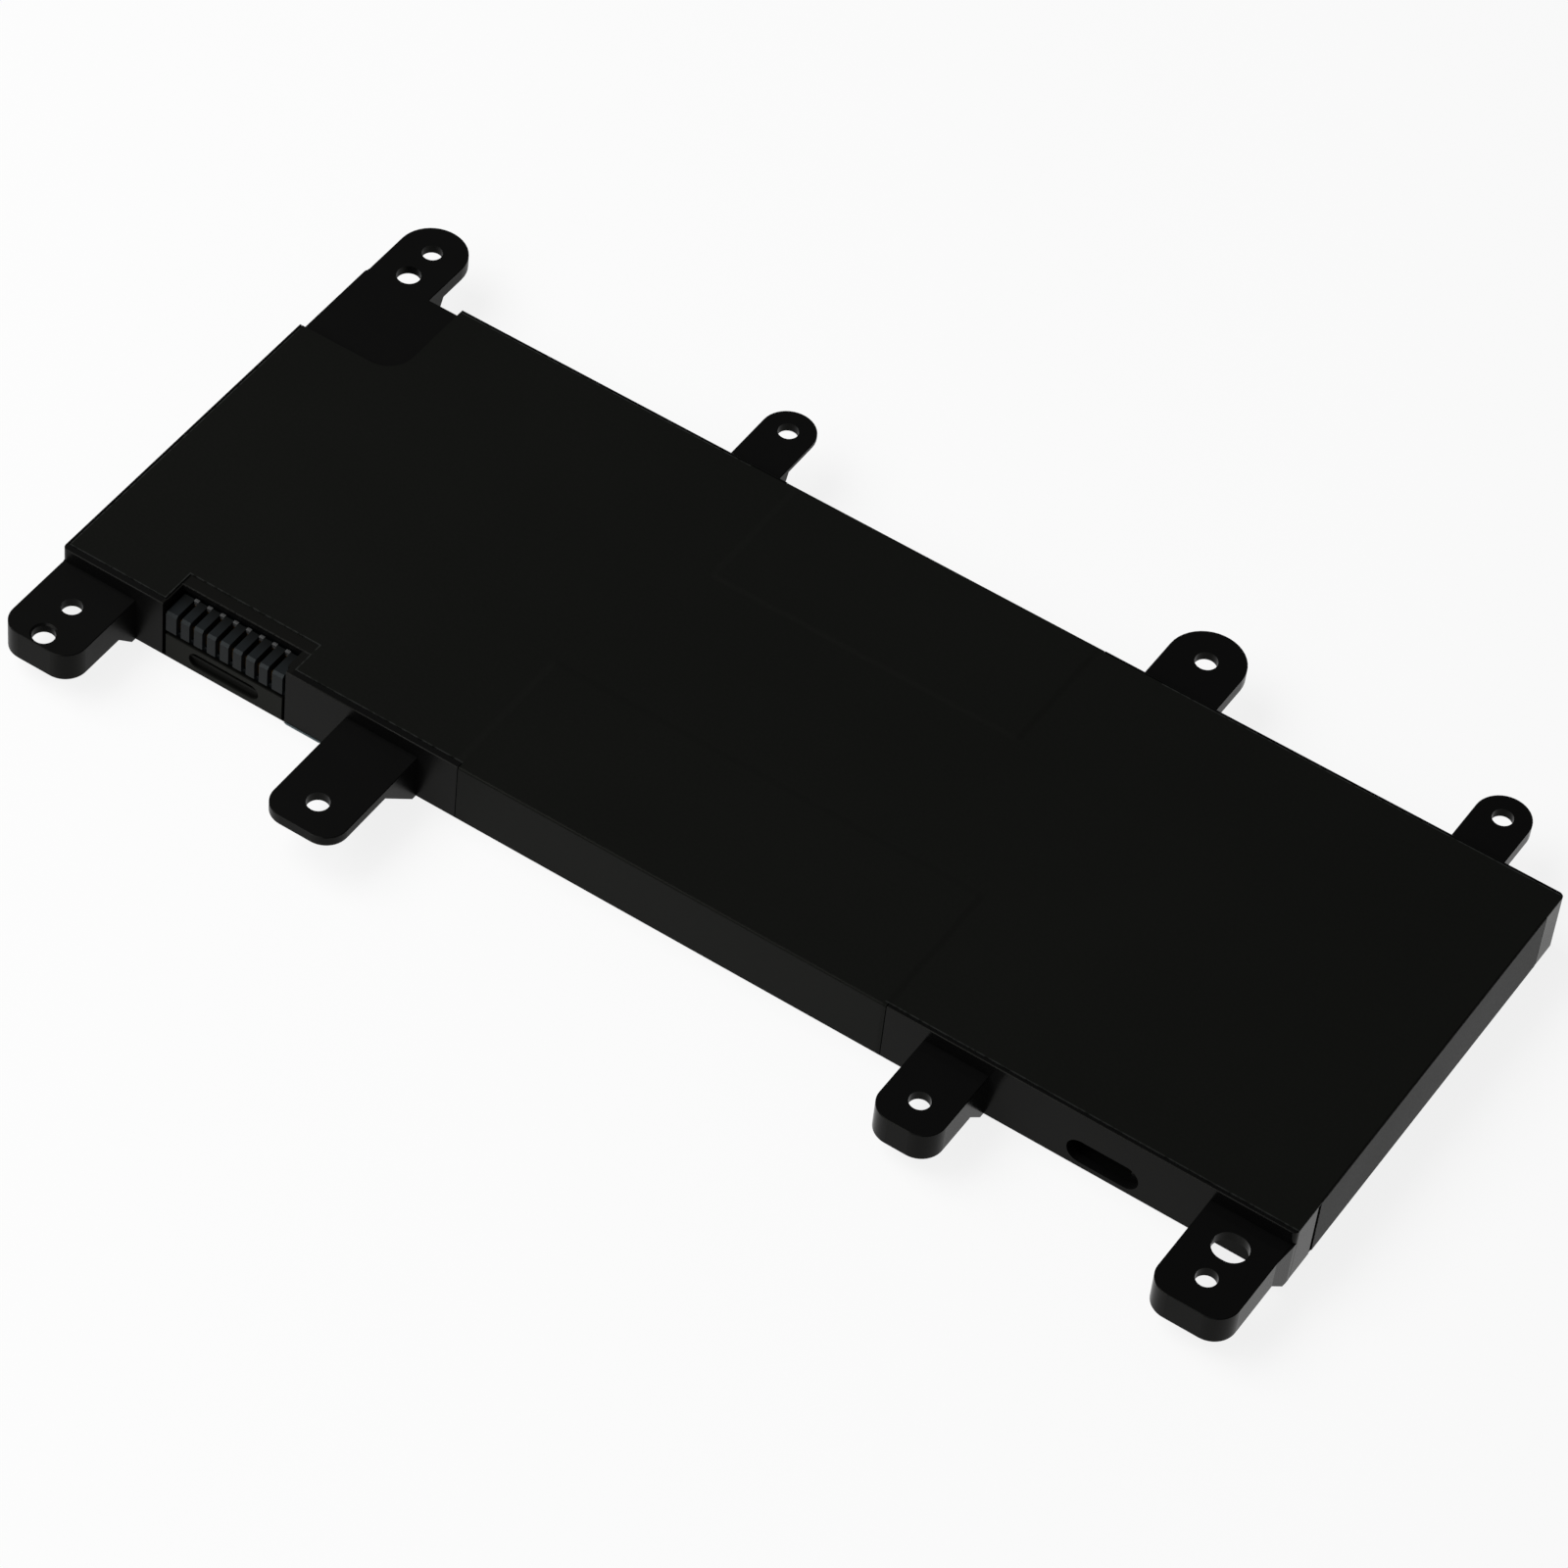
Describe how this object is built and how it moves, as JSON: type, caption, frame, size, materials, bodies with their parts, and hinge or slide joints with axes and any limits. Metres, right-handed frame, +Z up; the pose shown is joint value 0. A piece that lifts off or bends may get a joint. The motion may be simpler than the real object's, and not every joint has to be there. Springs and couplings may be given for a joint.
{
  "type": "laptop battery pack",
  "caption": "Flat black battery pack for a laptop, with screw ears along both long edges, a film-covered top and a blade connector in its front edge.",
  "frame": {"origin": "middle of the flat underside of the body", "axes": "+X along the length, with the connector to the left; +Y from the connector edge to the rear; +Z up, out of the film-covered top"},
  "size_m": [0.18, 0.0962, 0.0094],
  "materials": {
    "frame_plastic": "black moulded plastic, fine texture with a soft sheen",
    "top_film": "black satin film",
    "bottom_film": "black satin film",
    "connector_plastic": "dark grey moulded plastic",
    "contact_metal": "gold plated",
    "pouch_foil": "dull laminated foil",
    "aluminium_tab": "plain",
    "nickel": "plain nickel strip",
    "seal_polymer": "milky",
    "board": "green solder mask",
    "insulator": "pale paper",
    "chip_body": "black moulding compound",
    "ceramic": "fired ceramic",
    "amber_tape": "amber tape",
    "foam": "soft foam"
  },
  "bodies": {
    "root": {"moulded_frame": "frame_plastic", "top_film": "top_film", "bottom_film": "bottom_film", "connector_housing": "connector_plastic", "connector_panel": "frame_plastic", "circuit_board": "board", "board_sheet": "insulator", "protector_chip": "chip_body", "charge_transistor": "chip_body", "discharge_transistor": "chip_body", "board_fuse": "ceramic", "sense_resistor": "chip_body", "gauge_chip": "chip_body", "thermistor": "ceramic", "board_capacitors": "ceramic", "board_resistors": "chip_body", "positive_lead": "nickel", "series_link": "nickel", "negative_lead": "nickel", "lead_tape": "amber_tape", "cell_divider": "foam", "connector_contact_1": "contact_metal", "connector_contact_2": "contact_metal", "connector_contact_3": "contact_metal", "connector_contact_4": "contact_metal", "connector_contact_5": "contact_metal", "connector_contact_6": "contact_metal", "connector_contact_7": "contact_metal", "connector_contact_8": "contact_metal", "left_positive_tab": "aluminium_tab", "left_negative_tab": "nickel", "left_positive_seal": "seal_polymer", "left_negative_seal": "seal_polymer", "left_cell": "pouch_foil", "left_cell_pad": "insulator", "left_cell_foam": "foam", "right_positive_tab": "aluminium_tab", "right_negative_tab": "nickel", "right_positive_seal": "seal_polymer", "right_negative_seal": "seal_polymer", "right_cell": "pouch_foil", "right_cell_pad": "insulator", "right_cell_foam": "foam"}
  },
  "joints": []
}
